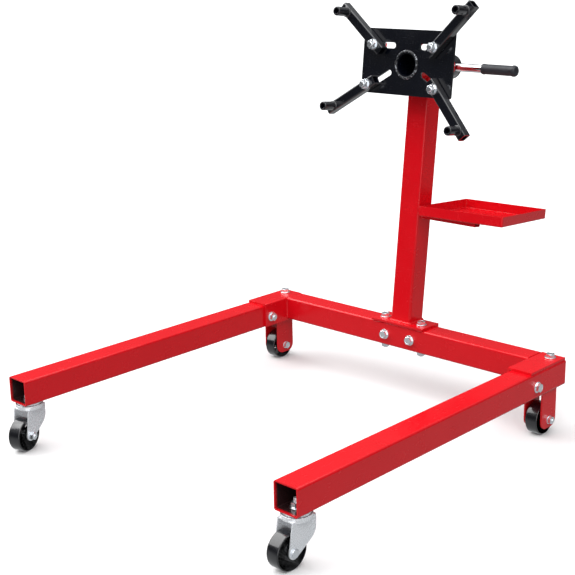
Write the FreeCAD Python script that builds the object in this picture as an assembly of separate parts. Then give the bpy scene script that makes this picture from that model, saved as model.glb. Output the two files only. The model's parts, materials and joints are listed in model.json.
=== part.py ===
import FreeCAD, Part
import math
import os

from FreeCAD import Placement, Rotation, Vector

# Engine stand on four casters: a U-shaped base, a leaning post, a turning head with four arms and a tray.
# X runs to the right, Y from the open front ends of the legs to the back, Z up from the floor.
# While the pieces are made, y = 0 is the front end of the legs. The last step moves everything along Y
# so that the origin ends up on the floor in the middle of the whole stand.

# ---- driving dimensions, mm and degrees
side_names = {-1: "left", 1: "right"}

tube_size = 60.0            # outer size of the square tube of the legs and the cross tube
tube_wall = 3.0
tube_corner = 5.0           # outer corner radius of the square tubes
leg_length = 912.0
leg_underside = 110.0
leg_centre_x = 418.0

plate_thickness = 6.0       # brackets, post foot and head plate
bracket_length = 143.0
bracket_reach = 446.0       # outer edge of the bracket's top plate
bend_radius = 4.0
bracket_drop = 58.0         # how far the inner plate goes down beside the leg
leg_bolt_y = 790.0
leg_bolt_height = 28.0      # above the underside of the leg
corner_bolt_x = 421.0
corner_bolt_y = 887.0

foot_half_width = 80.0
foot_front_y = 849.0
foot_drop = 50.0
foot_bolt_x = 57.0
foot_bolt_y = 877.0
foot_cross_bolt_x = 40.0
foot_cross_bolt_z = 145.0

post_width = 60.0
post_depth = 55.0
post_wall = 3.0
post_lean = 6.25            # the post leans back by this much
post_front_y = 863.0        # front face of the post where it meets its foot

bolt_radius = 6.0           # M12 fasteners
bolt_hole_radius = 6.5
hex_flats = 19.0
head_height = 8.0
nut_height = 10.0
washer_radius = 13.0
washer_thickness = 2.5
bolt_spare = 3.0            # thread that shows past a nut
thread_slack = 0.05         # between a thread and its nut
gap = 0.3                   # between pieces that move against each other

tray_height = 274.0         # top of the support bar, measured along the post
tray_pivot_x = 135.0
tray_width = 223.0
tray_depth = 256.0
tray_rim = 24.5
tray_sheet = 1.5
tray_left_of_pivot = 97.0
tray_front_of_pivot = 30.4
tray_swivel = 8.5           # how far the tray is turned on its bolt
bar_width = 22.0
bar_height = 10.0
bar_wall = 1.5
bar_end_x = 187.0
tray_bolt_radius = 4.0
tray_hex_flats = 13.0
tray_bolt_head = 5.5
tray_nut_height = 6.5
tray_washer_radius = 9.0
tray_washer_thickness = 1.6

head_axis_height = 635.0    # head axis above the foot, measured along the post
head_plate_front = -81.2    # front face of the head plate, forward of the post's middle
head_tube_radius = 30.0
head_tube_bore = 26.0
head_fit = 0.05             # running clearance of the head tube in its sleeve
head_tube_end = 187.0
end_cap_thickness = 8.0
sleeve_radius = 35.0
sleeve_end = 150.0
plate_half_width = 135.0
plate_top = 83.0
plate_bottom = -73.0
plate_corner = 6.0
slot_half_width = 7.0
upper_slot_v = 43.5
lower_slot_v = -21.5
lower_slot_slope = 31.0
slot_inner_x = {"upper": 43.0, "lower": 50.7}
slot_outer_x = {"upper": 99.0, "lower": 106.0}

arm_width = 24.0
arm_depth = 23.0
arm_wall = 3.5
arm_corner = 3.5
arm_behind_bolt = 24.0
arm_reach = 118.0           # from the bolt to the stand-off tube
arm_past_tube = 21.0
standoff_radius = 11.0
standoff_bore = 6.5
standoff_length = 39.0
standoff_rounding = 2.5
# each arm: side, upper or lower slot, place of its bolt along X, direction that it points
arm_settings = {
    "upper_left": (-1, "upper", 86.0, 141.2),
    "upper_right": (1, "upper", 92.0, 46.6),
    "lower_left": (-1, "lower", 102.0, 211.0),
    "lower_right": (1, "lower", 101.0, -48.8),
}

rod_radius = 10.0
rod_hole_radius = 10.3
rod_y = 165.0
rod_left_end = -45.0
rod_right_end = 199.0
grip_start = 108.0
grip_end = 203.0
grip_radius = 12.5
grip_ring_width = 5.0
inner_ring_radius = 13.0
outer_ring_radius = 13.6

pin_y = 130.0
pin_radius = 5.0
pin_hole_radius = 5.3
pin_tip = 24.0
pin_top = 72.0
pin_boss_radius = 10.0
pin_boss_top = 50.0
pin_collar_radius = 8.0
pin_collar_height = 3.0
pin_knob_radius = 9.0
pin_knob_start = 62.0
pin_knob_top = 77.0
index_holes = 12

wheel_radius = 38.0
wheel_half_width = 15.0
wheel_tread_rounding = 2.4
wheel_lip_inner = 35.2       # inside of the rim at its edges
wheel_rim_inner = 33.2       # inside of the rim at the web
wheel_hub_radius = 12.5
wheel_hub_half = 17.0
wheel_web_half = 1.8
wheel_bore = 7.55
wheel_holes = 6
wheel_hole_radius = 7.2
wheel_hole_ring = 22.0
front_wheel_turn = {-1: 12.0, 1: 34.0}    # where each wheel has stopped rolling
rear_wheel_turn = {-1: 30.0, 1: 40.0}
axle_radius = 5.0
axle_hex_flats = 17.0
axle_head_height = 6.5
axle_nut_height = 8.0
axle_washer_radius = 10.0
axle_washer_thickness = 2.0
bush_inner = 5.1
bush_outer = 7.5

rear_fork_gap = 40.0
rear_fork_plate = 4.0
rear_fork_y = 856.0
rear_fork_half_length = 30.0
rear_fork_below_axle = 20.0
rear_fork_corner = 20.0

caster_y = 29.0             # swivel axis of a front caster
caster_trail = 27.0
caster_turn = {-1: 17.0, 1: -3.0}
caster_fork_gap = 36.0
caster_fork_plate = 2.8
caster_crown_radius = 31.0
caster_crown_drop = 9.6     # from the leg down to the crown's top
caster_crown_thickness = 4.4
caster_end_radius = 12.5
caster_cup_thickness = 1.8
caster_cup_drop = 5.0
caster_cheek_half = 30.0
caster_cheek_rear_z = 62.0
caster_cheek_corner = 30.0
caster_flange_radius = 28.0
caster_flange_thickness = 4.0
caster_stem_above = 24.0    # above the underside of the leg
caster_head_radius = 9.0
caster_head_height = 4.0
caster_rivet_radius = 11.0
caster_rivet_height = 5.0
ball_radius = 2.5
ball_ring = 22.0
ball_count = 18

# ---- values that follow from them
leg_top = leg_underside + tube_size
frame_top = leg_top + plate_thickness
foot_top = frame_top + plate_thickness
cross_front_y = leg_length - tube_size
cross_underside = frame_top - tube_size
leg_inner_x = leg_centre_x - tube_size / 2
leg_outer_x = leg_centre_x + tube_size / 2
plate_inner_x = leg_inner_x - plate_thickness
foot_rear_y = leg_length + plate_thickness
post_foot = Vector(0, post_front_y + post_depth / 2 / math.cos(math.radians(post_lean)), foot_top)
sleeve_start = plate_thickness + 0.5
leg_bolt_z = leg_underside + leg_bolt_height
crown_top = leg_underside - caster_crown_drop
crown_bottom = crown_top - caster_crown_thickness
X = Vector(1, 0, 0)
Y = Vector(0, 1, 0)
Z = Vector(0, 0, 1)


# ---- small shape helpers
def block(x0, x1, y0, y1, z0, z1):
    return Part.makeBox(x1 - x0, y1 - y0, z1 - z0, Vector(x0, y0, z0))


def rod(radius, length, start, direction):
    return Part.makeCylinder(radius, length, start, direction)


def pipe(outer, inner, length, start, direction):
    return rod(outer, length, start, direction).cut(rod(inner, length, start, direction))


def hexagon(flats, height, start, direction):
    corner = flats / math.sqrt(3)
    angles = [k * math.pi / 3 for k in range(7)]
    points = [Vector(corner * math.cos(a), corner * math.sin(a), 0) for a in angles]
    prism = Part.Face(Part.makePolygon(points)).extrude(Vector(0, 0, height))
    prism.Placement = Placement(start, Rotation(Z, direction))
    return prism


def rounded_bar(width, depth, length, corner):
    bar = block(-width / 2, width / 2, -depth / 2, depth / 2, 0, length)
    long_edges = [edge for edge in bar.Edges if abs(edge.Length - length) < 1e-6]
    return bar.makeFillet(corner, long_edges)


def square_tube(width, depth, wall, length, corner):
    inside = rounded_bar(width - 2 * wall, depth - 2 * wall, length, max(corner - wall, 0.8))
    return rounded_bar(width, depth, length, corner).cut(inside)


def cut_all(shape, tools):
    for tool in tools:
        shape = shape.cut(tool)
    return shape


def placed(shape, placement):
    copy = shape.copy()
    copy.Placement = placement.multiply(copy.Placement)
    return copy


def group(solids):
    return Part.makeCompound(solids)


def hex_bolt(start, direction, length, radius, flats, head):
    """A bolt whose head stands behind start, with its shank running along direction."""
    head_start = start - Vector(direction) * head
    return hexagon(flats, head, head_start, direction).fuse(rod(radius, length, start, direction))


def hex_nut(start, direction, height, radius, flats):
    return hexagon(flats, height, start, direction).cut(rod(radius + thread_slack, height, start, direction))


def washer(start, direction, radius, hole, thickness):
    return pipe(radius, hole, thickness, start, direction)


def bolt_set(start, direction, grip, spare=bolt_spare):
    """Bolt, two washers and nut that clamp a stack of the given grip, from start along direction."""
    direction = Vector(direction)
    first = start - direction * washer_thickness
    last = start + direction * grip
    nut_start = last + direction * washer_thickness
    length = grip + 2 * washer_thickness + nut_height + spare
    return [
        hex_bolt(first, direction, length, bolt_radius, hex_flats, head_height),
        washer(first, direction, washer_radius, bolt_hole_radius, washer_thickness),
        washer(last, direction, washer_radius, bolt_hole_radius, washer_thickness),
        hex_nut(nut_start, direction, nut_height, bolt_radius, hex_flats),
    ]


def tangent_point(x, y, centre_x, centre_y, radius, side):
    """Where the line from (x, y) touches a circle, on its left (-1) or right (1) side."""
    away = math.atan2(y - centre_y, x - centre_x)
    half = math.acos(radius / math.hypot(x - centre_x, y - centre_y))
    angle = away - side * half
    return Vector(0, centre_x + radius * math.cos(angle), centre_y + radius * math.sin(angle))


# ---- places on the leaning post
def post_place(point=Vector(0, 0, 0), turn=0.0):
    """Placement of a piece given in the post's own frame: z up the post, y to its back."""
    lean = Placement(post_foot, Rotation(X, -post_lean))
    return lean.multiply(Placement(point, Rotation(Z, turn)))


def head_place():
    """Placement of the head's own frame: y backwards along the head axis, origin at the plate's front."""
    return post_place(Vector(0, head_plate_front, head_axis_height))


def slot_point(side, row, along_x):
    if row == "upper":
        return Vector(side * along_x, 0, upper_slot_v)
    drop = (along_x - slot_inner_x["lower"]) * math.tan(math.radians(lower_slot_slope))
    return Vector(side * along_x, 0, lower_slot_v - drop)


def caster_place(side):
    return Placement(Vector(side * leg_centre_x, caster_y, 0), Rotation(Z, caster_turn[side]))


# ---- base frame
def make_leg(side):
    tube = square_tube(tube_size, tube_size, tube_wall, leg_length, tube_corner)
    middle = Vector(side * leg_centre_x, 0, leg_underside + tube_size / 2)
    tube = placed(tube, Placement(middle, Rotation(X, -90)))
    cross = Vector(side * leg_centre_x - tube_size, leg_bolt_y, leg_bolt_z)
    holes = [
        rod(bolt_hole_radius, 2 * tube_size, cross, X),
        rod(bolt_hole_radius, 20, Vector(side * corner_bolt_x, corner_bolt_y, leg_top - 10), Z),
        rod(bolt_hole_radius, 10, Vector(side * leg_centre_x, caster_y, leg_underside - 5), Z),
    ]
    return cut_all(tube, holes)


def make_cross_tube():
    tube = square_tube(tube_size, tube_size, tube_wall, 2 * plate_inner_x, tube_corner)
    middle = Vector(-plate_inner_x, cross_front_y + tube_size / 2, cross_underside + tube_size / 2)
    tube = placed(tube, Placement(middle, Rotation(Y, 90)))
    holes = []
    for side in side_names:
        vertical = Vector(side * foot_bolt_x, foot_bolt_y, cross_underside - 10)
        cross = Vector(side * foot_cross_bolt_x, cross_front_y - 10, foot_cross_bolt_z)
        holes.append(rod(bolt_hole_radius, 2 * tube_size, vertical, Z))
        holes.append(rod(bolt_hole_radius, 2 * tube_size, cross, Y))
    return cut_all(tube, holes)


def make_bracket(side):
    """Bent plate: its top lies on the leg and its inner side stands between the leg and the cross tube."""
    front = leg_length - bracket_length
    bottom = leg_top - bracket_drop
    top = block(plate_inner_x, bracket_reach, front, leg_length, leg_top, frame_top)
    inner = block(plate_inner_x, leg_inner_x, front, leg_length, bottom, leg_top)
    angle = top.fuse(inner).removeSplitter()
    bend = [edge for edge in angle.Edges if edge.BoundBox.XMax < plate_inner_x + 0.1
            and edge.BoundBox.ZMin > frame_top - 0.1]
    angle = angle.makeFillet(bend_radius, bend)
    angle = cut_all(angle, [
        rod(bolt_hole_radius, 40, Vector(corner_bolt_x, corner_bolt_y, leg_top - 10), Z),
        rod(bolt_hole_radius, 40, Vector(plate_inner_x - 10, leg_bolt_y, leg_bolt_z), X),
    ])
    return angle if side > 0 else angle.mirror(Vector(0, 0, 0), X)


def make_leg_bolts():
    """One level bolt through each leg: head outside, nut on the bracket's inner plate."""
    solids = []
    for side in side_names:
        start = Vector(side * leg_outer_x, leg_bolt_y, leg_bolt_z)
        solids += bolt_set(start, Vector(-side, 0, 0), tube_size + plate_thickness)
    return group(solids)


def make_corner_bolts():
    """One upright bolt through each bracket into the leg, with its nut inside the tube."""
    solids = []
    for side in side_names:
        start = Vector(side * corner_bolt_x, corner_bolt_y, frame_top)
        solids += bolt_set(start, -Z, tube_wall + plate_thickness)
    return group(solids)


# ---- post
def make_post_foot():
    """Angle plate: the post is welded on its top, and its rear side hangs behind the cross tube."""
    top = block(-foot_half_width, foot_half_width, foot_front_y, foot_rear_y, frame_top, foot_top)
    rear = block(-foot_half_width, foot_half_width, leg_length, foot_rear_y, frame_top - foot_drop, frame_top)
    angle = top.fuse(rear).removeSplitter()
    holes = []
    for side in side_names:
        holes.append(rod(bolt_hole_radius, 30, Vector(side * foot_bolt_x, foot_bolt_y, frame_top - 10), Z))
        cross = Vector(side * foot_cross_bolt_x, leg_length - 10, foot_cross_bolt_z)
        holes.append(rod(bolt_hole_radius, 30, cross, Y))
    return cut_all(angle, holes)


def make_post_bolts():
    solids = []
    for side in side_names:
        start = Vector(side * foot_bolt_x, foot_bolt_y, foot_top)
        solids += bolt_set(start, -Z, tube_size + plate_thickness)
    return group(solids)


def make_post_cross_bolts():
    solids = []
    for side in side_names:
        start = Vector(side * foot_cross_bolt_x, cross_front_y, foot_cross_bolt_z)
        solids += bolt_set(start, Y, tube_size + plate_thickness)
    return group(solids)


def make_post():
    """Leaning square tube, cut level at its foot and hollowed at its top to seat the sleeve."""
    below = 20.0
    tube = square_tube(post_width, post_depth, post_wall, head_axis_height + below, tube_corner)
    tube = placed(tube, post_place(Vector(0, 0, -below)))
    ground = block(-100, 100, post_front_y - 100, post_front_y + 200, foot_top - 100, foot_top)
    seat = placed(rod(sleeve_radius, 200, Vector(0, 0, 0), Y), head_place())
    top_cut = placed(block(-100, 100, 0, 200, 0, 100), head_place())
    return cut_all(tube, [ground, seat, top_cut])


# ---- tray
def make_tray_bar():
    """Flat tube welded to the post's right face, with an open end."""
    length = bar_end_x - post_width / 2
    middle_height = tray_height - bar_height / 2
    bar = square_tube(bar_height, bar_width, bar_wall, length, 2.0)
    bar = placed(bar, Placement(Vector(post_width / 2, 0, middle_height), Rotation(Y, 90)))
    hole = rod(tray_bolt_radius + 0.4, bar_height / 2, Vector(tray_pivot_x, 0, middle_height), Z)
    return placed(bar.cut(hole), post_place())


def tray_place():
    return post_place(Vector(tray_pivot_x, 0, tray_height + gap), tray_swivel)


def make_tray_pan():
    """Sheet pan with four upright rims, in a frame with its origin on the pivot."""
    x0 = -tray_left_of_pivot
    y0 = -tray_front_of_pivot
    outside = block(x0, x0 + tray_width, y0, y0 + tray_depth, 0, tray_rim)
    uprights = [edge for edge in outside.Edges if abs(edge.Length - tray_rim) < 1e-6]
    floor_edges = [edge for edge in outside.Edges if edge.BoundBox.ZMax < 1e-3]
    outside = outside.makeFillet(3.0, uprights + floor_edges)
    hollow = block(x0 + tray_sheet, x0 + tray_width - tray_sheet,
                   y0 + tray_sheet, y0 + tray_depth - tray_sheet, tray_sheet, tray_rim + 10)
    hollow_edges = [edge for edge in hollow.Edges if abs(edge.Length - (tray_rim + 10 - tray_sheet)) < 1e-6]
    hollow_floor = [edge for edge in hollow.Edges if edge.BoundBox.ZMax < tray_sheet + 1e-3]
    hollow = hollow.makeFillet(1.5, hollow_edges + hollow_floor)
    hole = rod(tray_bolt_radius + 0.05, 10, Vector(0, 0, -5), Z)
    return placed(outside.cut(hollow).cut(hole), tray_place())


def make_tray_bolt():
    """Bolt and washer above the pan, and a nut inside the hollow bar, that let the pan swivel."""
    top = tray_sheet + gap
    nut_top = -gap - bar_wall
    head_seat = Vector(0, 0, top + tray_washer_thickness)
    length = head_seat.z - nut_top + tray_nut_height
    solids = [
        hex_bolt(head_seat, -Z, length, tray_bolt_radius, tray_hex_flats, tray_bolt_head),
        washer(Vector(0, 0, top), Z, tray_washer_radius, tray_bolt_radius + 0.3, tray_washer_thickness),
        hex_nut(Vector(0, 0, nut_top), -Z, tray_nut_height, tray_bolt_radius, tray_hex_flats),
    ]
    return placed(group(solids), tray_place())


# ---- head
def make_sleeve():
    bore = head_tube_radius + head_fit
    sleeve = pipe(sleeve_radius, bore, sleeve_end - sleeve_start, Vector(0, sleeve_start, 0), Y)
    sleeve = sleeve.cut(rod(pin_hole_radius, sleeve_radius + 10, Vector(0, pin_y, 0), Z))
    return placed(sleeve, head_place())


def make_pin_boss():
    """Short guide on top of the sleeve for the index pin."""
    boss = pipe(pin_boss_radius, pin_hole_radius, pin_boss_top, Vector(0, pin_y, 0), Z)
    boss = boss.cut(rod(sleeve_radius, 60, Vector(0, pin_y - 30, 0), Y))
    return placed(boss, head_place())


def make_index_pin():
    """Pin that drops through the sleeve into a hole of the head tube; its collar rests on the boss."""
    pin = rod(pin_radius, pin_top - pin_tip, Vector(0, pin_y, pin_tip), Z)
    collar = rod(pin_collar_radius, pin_collar_height, Vector(0, pin_y, pin_boss_top + gap), Z)
    return placed(pin.fuse(collar), head_place())


def make_pin_knob():
    knob = rod(pin_knob_radius, pin_knob_top - pin_knob_start, Vector(0, pin_y, pin_knob_start), Z)
    rims = [edge for edge in knob.Edges if edge.BoundBox.ZLength < 0.1]
    knob = knob.makeFillet(3.0, rims)
    knob = knob.cut(rod(pin_radius + 0.02, pin_top - pin_knob_start, Vector(0, pin_y, pin_knob_start), Z))
    return placed(knob, head_place())


def make_head_tube():
    length = head_tube_end - end_cap_thickness
    tube = pipe(head_tube_radius, head_tube_bore, length, Vector(0, 0, 0), Y)
    holes = [rod(rod_hole_radius, 4 * head_tube_radius, Vector(-2 * head_tube_radius, rod_y, 0), X)]
    for k in range(index_holes):
        angle = 2 * math.pi * k / index_holes
        outward = Vector(math.sin(angle), 0, math.cos(angle))
        holes.append(rod(pin_hole_radius, 40, Vector(0, pin_y, 0), outward))
    return placed(cut_all(tube, holes), head_place())


def make_end_cap():
    cap = rod(head_tube_radius, end_cap_thickness, Vector(0, head_tube_end - end_cap_thickness, 0), Y)
    rim = [edge for edge in cap.Edges if edge.BoundBox.YMin > head_tube_end - 1e-3]
    return placed(cap.makeFillet(2.0, rim), head_place())


def slot_cutter(side, row):
    """Long hole between two round ends."""
    inner = slot_point(side, row, slot_inner_x[row])
    outer = slot_point(side, row, slot_outer_x[row])
    run = outer - inner
    bar = block(0, run.Length, 0, 3 * plate_thickness, -slot_half_width, slot_half_width)
    slope = math.degrees(math.atan2(run.z, run.x))
    bar = placed(bar, Placement(inner, Rotation(Y, -slope)))
    start = rod(slot_half_width, 3 * plate_thickness, inner, Y)
    end = rod(slot_half_width, 3 * plate_thickness, outer, Y)
    return bar.fuse(start).fuse(end)


def make_head_plate():
    plate = block(-plate_half_width, plate_half_width, 0, plate_thickness, plate_bottom, plate_top)
    corners = [edge for edge in plate.Edges if abs(edge.Length - plate_thickness) < 1e-6]
    plate = plate.makeFillet(plate_corner, corners)
    plate = plate.cut(rod(head_tube_radius + 0.05, 3 * plate_thickness, Vector(0, -plate_thickness, 0), Y))
    for side in side_names:
        for row in ("upper", "lower"):
            plate = plate.cut(slot_cutter(side, row).translated(Vector(0, -plate_thickness, 0)))
    return placed(plate, head_place())


def arm_place(name):
    """Frame of one arm: x along the arm, y backwards, origin on the bolt at the arm's back face."""
    side, row, along_x, direction = arm_settings[name]
    spot = slot_point(side, row, along_x) - Vector(0, gap, 0)
    return head_place().multiply(Placement(spot, Rotation(Y, -direction)))


def make_arm(name):
    length = arm_behind_bolt + arm_reach + arm_past_tube
    bar = square_tube(arm_width, arm_depth, arm_wall, length, arm_corner)
    bar = placed(bar, Placement(Vector(-arm_behind_bolt, -arm_depth / 2, 0), Rotation(Y, 90)))
    bar = bar.cut(rod(bolt_radius + 0.05, 2 * arm_depth, Vector(0, -1.5 * arm_depth, 0), Y))
    bar = bar.cut(rod(standoff_bore, 2 * arm_depth, Vector(arm_reach, -1.5 * arm_depth, 0), Y))
    return placed(bar, arm_place(name))


def make_standoff(name):
    start = Vector(arm_reach, -arm_depth - standoff_length, 0)
    tube = rod(standoff_radius, standoff_length, start, Y)
    front = [edge for edge in tube.Edges if edge.BoundBox.YMax < start.y + 1e-3]
    tube = tube.makeFillet(standoff_rounding, front)
    tube = tube.cut(rod(standoff_bore, standoff_length, start, Y))
    return placed(tube, arm_place(name))


def make_arm_bolt(name):
    """Bolt with its head behind the plate and its nut in front of the arm."""
    back = Vector(0, 2 * gap + plate_thickness, 0)
    grip = arm_depth + plate_thickness + 3 * gap
    return placed(group(bolt_set(back, -Y, grip)), arm_place(name))


def make_handle_rod():
    bar = rod(rod_radius, rod_right_end - rod_left_end, Vector(rod_left_end, rod_y, 0), X)
    left_rim = [edge for edge in bar.Edges if edge.BoundBox.XMax < rod_left_end + 1e-3]
    return placed(bar.makeChamfer(1.5, left_rim), head_place())


def make_handle_grip():
    """Soft sleeve on the rod with a ring at each end, closed over the rod's tip."""
    grip = rod(grip_radius, grip_end - grip_start, Vector(grip_start, rod_y, 0), X)
    outer_ring_start = Vector(grip_end - 2 * grip_ring_width, rod_y, 0)
    grip = grip.fuse(rod(inner_ring_radius, grip_ring_width, Vector(grip_start, rod_y, 0), X))
    grip = grip.fuse(rod(outer_ring_radius, grip_ring_width, outer_ring_start, X))
    grip = grip.cut(rod(rod_radius + 0.02, rod_right_end - grip_start, Vector(grip_start, rod_y, 0), X))
    return placed(grip, head_place())


# ---- wheels
def make_wheel(place, turn):
    """Moulded wheel about the X axis: hub, thin web with round holes, rim with a rounded tread."""
    half = wheel_half_width
    web = wheel_web_half
    hub = wheel_hub_half
    edge = wheel_tread_rounding
    tread = wheel_radius
    diagonal = edge * (1 - math.sqrt(0.5))
    hub_at_web = wheel_hub_radius + 1.5
    left_side = [
        (-hub, wheel_bore), (-hub, wheel_hub_radius), (-web, hub_at_web),
        (-web, wheel_rim_inner), (-half, wheel_lip_inner), (-half, tread - edge),
    ]
    right_side = [(-x, r) for x, r in reversed(left_side)]
    points = [Vector(x, 0, r) for x, r in left_side + right_side]
    left_top = Vector(-half + edge, 0, tread)
    right_top = Vector(half - edge, 0, tread)
    edges = [Part.LineSegment(a, b).toShape() for a, b in zip(points[:5], points[1:6])]
    edges.append(Part.Arc(points[5], Vector(-half + diagonal, 0, tread - diagonal), left_top).toShape())
    edges.append(Part.LineSegment(left_top, right_top).toShape())
    edges.append(Part.Arc(right_top, Vector(half - diagonal, 0, tread - diagonal), points[6]).toShape())
    edges += [Part.LineSegment(a, b).toShape() for a, b in zip(points[6:], points[7:] + points[:1])]
    wheel = Part.Face(Part.Wire(edges)).revolve(Vector(0, 0, 0), X, 360)
    for k in range(wheel_holes):
        angle = math.radians(turn) + 2 * math.pi * k / wheel_holes
        spot = Vector(-20, wheel_hole_ring * math.cos(angle), wheel_hole_ring * math.sin(angle))
        wheel = wheel.cut(rod(wheel_hole_radius, 40, spot, X))
    return placed(wheel, place)


def make_bush(place, fork_gap):
    length = fork_gap - 2 * gap
    return placed(pipe(bush_outer, bush_inner, length, Vector(-length / 2, 0, 0), X), place)


def axle_end(outer_half, head_side):
    """Washer and nut on the end of an axle that is away from its head."""
    direction = Vector(-head_side, 0, 0)
    seat = Vector(-head_side * outer_half, 0, 0)
    nut_seat = seat + direction * axle_washer_thickness
    return [
        washer(seat, direction, axle_washer_radius, axle_radius + gap, axle_washer_thickness),
        hex_nut(nut_seat, direction, axle_nut_height, axle_radius, axle_hex_flats),
    ]


def make_hex_axle(place, outer_half, head_side):
    """Hexagon-headed axle bolt with two washers and a nut."""
    direction = Vector(-head_side, 0, 0)
    start = Vector(head_side * (outer_half + axle_washer_thickness), 0, 0)
    length = 2 * outer_half + 2 * axle_washer_thickness + axle_nut_height + bolt_spare
    solids = [
        hex_bolt(start, direction, length, axle_radius, axle_hex_flats, axle_head_height),
        washer(start, direction, axle_washer_radius, axle_radius + gap, axle_washer_thickness),
    ]
    return placed(group(solids + axle_end(outer_half, head_side)), place)


def make_round_axle(place, outer_half, head_side):
    """Axle bolt with a flat round head straight on the fork, a washer and a nut."""
    direction = Vector(-head_side, 0, 0)
    start = Vector(head_side * outer_half, 0, 0)
    length = 2 * outer_half + axle_washer_thickness + axle_nut_height + bolt_spare
    head = rod(caster_head_radius, caster_head_height, start - direction * caster_head_height, direction)
    bolt = head.fuse(rod(axle_radius, length, start, direction))
    return placed(group([bolt] + axle_end(outer_half, head_side)), place)


# ---- rear casters
def rear_axle_place(side):
    return Placement(Vector(side * leg_centre_x, rear_fork_y, wheel_radius), Rotation())


def make_rear_fork(side):
    """Folded bracket welded under the leg, with two cheeks that carry the axle."""
    outer = rear_fork_gap / 2 + rear_fork_plate
    y0 = rear_fork_y - rear_fork_half_length
    y1 = rear_fork_y + rear_fork_half_length
    bottom = wheel_radius - rear_fork_below_axle
    fork = block(-outer, outer, y0, y1, leg_underside - rear_fork_plate, leg_underside)
    for x in (-outer, outer - rear_fork_plate):
        cheek = block(x, x + rear_fork_plate, y0, y1, bottom, leg_underside)
        lower_corners = [edge for edge in cheek.Edges if edge.BoundBox.ZMax < bottom + 0.1
                         and edge.BoundBox.YLength < 0.1]
        fork = fork.fuse(cheek.makeFillet(rear_fork_corner, lower_corners))
    fork = fork.cut(rod(axle_radius + 0.1, 100, Vector(-50, rear_fork_y, wheel_radius), X)).removeSplitter()
    return fork.translated(Vector(side * leg_centre_x, 0, 0))


def make_rear_axles():
    outer_half = rear_fork_gap / 2 + rear_fork_plate
    axles = [make_hex_axle(rear_axle_place(side), outer_half, -side) for side in side_names]
    return group([solid for axle in axles for solid in axle.Solids])


def make_rear_bushes():
    return group([make_bush(rear_axle_place(side), rear_fork_gap) for side in side_names])


# ---- front swivel casters
def front_axle_place(side):
    return caster_place(side).multiply(Placement(Vector(0, -caster_trail, wheel_radius), Rotation()))


def make_caster_stems():
    """Flange with its threaded stem above and its riveted pin below, one for each front caster."""
    flange_bottom = leg_underside - caster_flange_thickness
    rivet_bottom = crown_bottom - gap - caster_rivet_height
    stem_top = leg_underside + caster_stem_above
    stems = []
    for side in side_names:
        flange = rod(caster_flange_radius, caster_flange_thickness, Vector(0, 0, flange_bottom), Z)
        stem = rod(bolt_radius, stem_top - rivet_bottom, Vector(0, 0, rivet_bottom), Z)
        rivet = rod(caster_rivet_radius, caster_rivet_height, Vector(0, 0, rivet_bottom), Z)
        stems.append(placed(flange.fuse(stem).fuse(rivet), caster_place(side)))
    return group(stems)


def make_stem_nuts():
    """Washer and nut inside each leg's open end."""
    floor = leg_underside + tube_wall
    solids = []
    for side in side_names:
        place = caster_place(side)
        ring = washer(Vector(0, 0, floor), Z, washer_radius, bolt_hole_radius, washer_thickness)
        nut = hex_nut(Vector(0, 0, floor + washer_thickness), Z, nut_height, bolt_radius, hex_flats)
        solids += [placed(ring, place), placed(nut, place)]
    return group(solids)


def make_swivel_balls():
    height = crown_top + gap + ball_radius
    solids = []
    for side in side_names:
        for k in range(ball_count):
            angle = 2 * math.pi * k / ball_count
            centre = Vector(ball_ring * math.cos(angle), ball_ring * math.sin(angle), height)
            solids.append(placed(Part.makeSphere(ball_radius, centre), caster_place(side)))
    return group(solids)


def caster_cheek():
    """Pressed side plate: upright at the back, then sloping down to a round end at the axle."""
    top = crown_bottom + caster_fork_plate
    front_top = Vector(0, -caster_cheek_half, top)
    rear_top = Vector(0, caster_cheek_half, top)
    rear_low = Vector(0, caster_cheek_half, caster_cheek_rear_z)
    front_touch = tangent_point(front_top.y, top, -caster_trail, wheel_radius, caster_end_radius, -1)
    rear_touch = tangent_point(rear_low.y, rear_low.z, -caster_trail, wheel_radius, caster_end_radius, 1)
    lowest = Vector(0, -caster_trail, wheel_radius - caster_end_radius)
    edges = [
        Part.LineSegment(rear_touch, rear_low).toShape(),
        Part.LineSegment(rear_low, rear_top).toShape(),
        Part.LineSegment(rear_top, front_top).toShape(),
        Part.LineSegment(front_top, front_touch).toShape(),
        Part.Arc(front_touch, lowest, rear_touch).toShape(),
    ]
    plate = Part.Face(Part.Wire(edges)).extrude(Vector(caster_fork_plate, 0, 0))
    rear_corner = [edge for edge in plate.Edges if edge.BoundBox.YMin > caster_cheek_half - 0.1
                   and edge.BoundBox.ZMax < caster_cheek_rear_z + 0.1]
    return plate.makeFillet(caster_cheek_corner, rear_corner)


def make_caster_fork(side):
    """Crown with a ball cup round it, and two cheeks that trail down to the axle."""
    outer = caster_fork_gap / 2 + caster_fork_plate
    radius = caster_crown_radius
    half = caster_cheek_half
    cup_height = leg_underside - caster_cup_drop - crown_bottom
    bottom_middle = Vector(0, 0, crown_bottom)
    fork = rod(radius, caster_crown_thickness, bottom_middle, Z)
    fork = fork.fuse(pipe(radius, radius - caster_cup_thickness, cup_height, bottom_middle, Z))
    fork = fork.fuse(block(-outer, outer, -half, half, crown_bottom, crown_bottom + caster_fork_plate))
    for x in (-outer, outer - caster_fork_plate):
        fork = fork.fuse(caster_cheek().translated(Vector(x, 0, 0)))
    fork = fork.cut(rod(bolt_radius + 0.3, 60, Vector(0, 0, crown_bottom - 30), Z))
    fork = fork.cut(rod(axle_radius + 0.1, 100, Vector(-50, -caster_trail, wheel_radius), X))
    return placed(fork.removeSplitter(), caster_place(side))


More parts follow.
